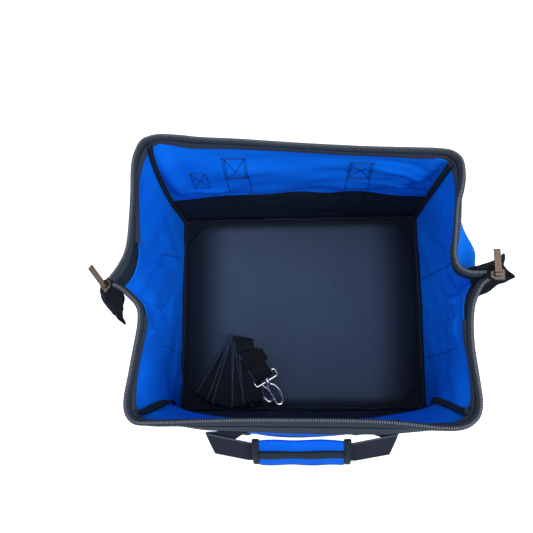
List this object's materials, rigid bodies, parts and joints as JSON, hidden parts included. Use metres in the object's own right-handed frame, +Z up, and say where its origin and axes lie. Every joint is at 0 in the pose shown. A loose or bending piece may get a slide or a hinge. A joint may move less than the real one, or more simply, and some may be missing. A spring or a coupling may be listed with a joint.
{
  "type": "lockout bag",
  "caption": "Open-topped soft tool bag with a framed zip mouth, padded handle, side pockets and a shoulder strap.",
  "frame": {"origin": "middle of the base's underside", "axes": "+X to the bag's right end, +Y to the rear wall, +Z up; the padded handle is on the -Y wall"},
  "size_m": [0.5276, 0.4219, 0.3074],
  "materials": {
    "blue_cloth": "woven polyester, matt",
    "black_cloth": "coated woven polyester, satin",
    "black_webbing": "woven webbing, slight sheen",
    "plated_steel": "nickel plated, bright",
    "bronze_puller": "antique bronze plate",
    "black_plastic": "moulded, fine satin"
  },
  "bodies": {
    "root": {"base_panel": "black_cloth", "base_board": "black_cloth", "floor_piping": "black_cloth", "left_end_panel": "blue_cloth", "left_pocket": "blue_cloth", "left_pocket_binding": "black_cloth", "right_end_panel": "blue_cloth", "right_pocket": "blue_cloth", "right_pocket_binding": "black_cloth", "front_lower_band": "black_cloth", "corner_binding_front_left": "black_cloth", "corner_binding_front_right": "black_cloth", "rear_lower_band": "black_cloth", "corner_binding_rear_left": "black_cloth", "corner_binding_rear_right": "black_cloth"},
    "front_wall": {"front_upper_wall": "blue_cloth", "front_handle_leg_left": "black_webbing", "front_handle_leg_right": "black_webbing", "front_ring_tab": "black_webbing"},
    "front_rim": {"front_rim_hem": "black_cloth", "front_zip_tape": "black_cloth", "front_frame_wire": "plated_steel"},
    "front_handle": {"front_handle_webbing": "black_webbing", "grip_wrap": "blue_cloth"},
    "front_ring": {"front_d_ring": "plated_steel"},
    "rear_wall": {"rear_upper_wall": "blue_cloth", "rear_handle_leg_left": "black_webbing", "rear_handle_leg_right": "black_webbing", "rear_ring_tab": "black_webbing"},
    "rear_rim": {"rear_rim_hem": "black_cloth", "rear_zip_tape": "black_cloth", "rear_frame_wire": "plated_steel"},
    "rear_handle": {"rear_handle_webbing": "black_webbing"},
    "rear_ring": {"rear_d_ring": "plated_steel"},
    "flap": {"grip_flap": "blue_cloth"},
    "left_zip_end": {"left_zip_tab": "black_cloth"},
    "left_slider": {"left_zip_slider": "plated_steel"},
    "left_puller": {"left_zip_puller": "bronze_puller"},
    "right_zip_end": {"right_zip_tab": "black_cloth"},
    "right_slider": {"right_zip_slider": "plated_steel"},
    "right_puller": {"right_zip_puller": "bronze_puller"},
    "strap": {"shoulder_strap": "black_webbing", "strap_glide": "black_plastic"},
    "lower_bail": {"lower_hook_bail": "plated_steel"},
    "lower_hook": {"lower_hook_body": "plated_steel"},
    "lower_gate": {"lower_hook_gate": "plated_steel"},
    "upper_bail": {"upper_hook_bail": "plated_steel"},
    "upper_hook": {"upper_hook_body": "plated_steel"},
    "upper_gate": {"upper_hook_gate": "plated_steel"}
  },
  "joints": [
    {"name": "front_wall_fold", "type": "hinge", "parent": "root", "child": "front_wall", "pos_m": [0, -0.159, 0.084], "axis": [-1, 0, 0], "range_deg": [0, 47.4], "deforming": ["front_lower_band", "left_end_panel", "right_end_panel", "corner_binding_front_left", "corner_binding_front_right", "corner_binding_rear_left", "corner_binding_rear_right"]},
    {"name": "front_rim_fold", "type": "hinge", "parent": "front_wall", "child": "front_rim", "pos_m": [0, -0.159, 0.3], "axis": [-1, 0, 0], "range_deg": [0, 42.7], "deforming": ["front_rim_hem", "front_zip_tape"]},
    {"name": "rear_wall_fold", "type": "hinge", "parent": "root", "child": "rear_wall", "pos_m": [0, 0.159, 0.084], "axis": [1, 0, 0], "range_deg": [0, 52], "deforming": ["rear_lower_band"]},
    {"name": "rear_rim_fold", "type": "hinge", "parent": "rear_wall", "child": "rear_rim", "pos_m": [0, 0.1768, 0.3], "axis": [1, 0, 0], "range_deg": [0, 38.2], "deforming": ["rear_rim_hem", "rear_zip_tape"]},
    {"name": "left_zip_end_drop", "type": "slide", "parent": "root", "child": "left_zip_end", "axis": [0, -0.0376, -0.9993], "range_m": [0, 0.235]},
    {"name": "left_slider_run", "type": "slide", "parent": "left_zip_end", "child": "left_slider", "axis": [-0.6824, -0.5332, -0.5], "range_m": [0, 0.004]},
    {"name": "left_puller_swing", "type": "hinge", "parent": "left_slider", "child": "left_puller", "pos_m": [-0.23777, 0.00256, 0.29983], "axis": [0.6824, 0.5332, 0.5], "range_deg": [0, 180]},
    {"name": "right_zip_end_drop", "type": "slide", "parent": "root", "child": "right_zip_end", "axis": [0, -0.0376, -0.9993], "range_m": [0, 0.235]},
    {"name": "right_slider_run", "type": "slide", "parent": "right_zip_end", "child": "right_slider", "axis": [1, 0, 0], "range_m": [0, 0.004]},
    {"name": "right_puller_swing", "type": "hinge", "parent": "right_slider", "child": "right_puller", "pos_m": [0.2343, 0.00883, 0.3047], "axis": [1, 0, 0], "range_deg": [0, 180]},
    {"name": "front_handle_swing", "type": "hinge", "parent": "front_wall", "child": "front_handle", "pos_m": [0, -0.17597, 0.254], "axis": [1, 0, 0], "range_deg": [-125, 14]},
    {"name": "grip_flap_open", "type": "hinge", "parent": "front_handle", "child": "flap", "pos_m": [0, -0.20079, 0.24001], "axis": [-1, 0, 0], "range_deg": [0, 80], "deforming": ["grip_flap"]},
    {"name": "rear_handle_swing", "type": "hinge", "parent": "rear_wall", "child": "rear_handle", "pos_m": [0, 0.18032, 0.254], "axis": [-1, 0, 0], "range_deg": [-145, 8]},
    {"name": "front_ring_swing", "type": "hinge", "parent": "front_wall", "child": "front_ring", "pos_m": [0.139, -0.17153, 0.222], "axis": [-1, 0, 0], "range_deg": [0, 150]},
    {"name": "rear_ring_swing", "type": "hinge", "parent": "rear_wall", "child": "rear_ring", "pos_m": [-0.139, 0.17836, 0.222], "axis": [1, 0, 0], "range_deg": [0, 150]},
    {"name": "strap_lift", "type": "slide", "parent": "root", "child": "strap", "axis": [0, 0, 1], "range_m": [0, 0.35]},
    {"name": "lower_bail_swing", "type": "hinge", "parent": "strap", "child": "lower_bail", "pos_m": [-0.088, -0.109, 0.0185], "axis": [-0.6585, -0.7526, 0], "range_deg": [0, 6]},
    {"name": "lower_hook_swivel", "type": "hinge", "parent": "lower_bail", "child": "lower_hook", "pos_m": [-0.088, -0.109, 0.0185], "axis": [0.7526, -0.6585, 0], "continuous": true},
    {"name": "lower_gate_open", "type": "hinge", "parent": "lower_hook", "child": "lower_gate", "pos_m": [-0.07255, -0.12949, 0.01757], "axis": [-0.1143, -0.1307, 0.9848], "range_deg": [0, 16], "stiffness_Nm_per_rad": 0.01},
    {"name": "upper_bail_swing", "type": "hinge", "parent": "strap", "child": "upper_bail", "pos_m": [-0.06, -0.104, 0.041], "axis": [-0.8575, -0.5145, 0], "range_deg": [0, 40]},
    {"name": "upper_hook_swivel", "type": "hinge", "parent": "upper_bail", "child": "upper_hook", "pos_m": [-0.06, -0.104, 0.041], "axis": [0.5033, -0.8388, -0.2079], "continuous": true},
    {"name": "upper_gate_open", "type": "hinge", "parent": "upper_hook", "child": "upper_gate", "pos_m": [-0.05193, -0.12781, 0.03578], "axis": [0.107, -0.1783, 0.9781], "range_deg": [0, 16], "stiffness_Nm_per_rad": 0.01}
  ],
  "couplings": [
    {"joint": "front_rim_fold", "follows": "front_wall_fold", "ratio": 0.89873},
    {"joint": "rear_wall_fold", "follows": "front_wall_fold", "ratio": 1.0949},
    {"joint": "rear_rim_fold", "follows": "front_wall_fold", "ratio": 0.8038},
    {"joint": "left_zip_end_drop", "follows": "front_wall_fold", "m_per_rad": 0.28346},
    {"joint": "right_zip_end_drop", "follows": "front_wall_fold", "m_per_rad": 0.28346}
  ]
}
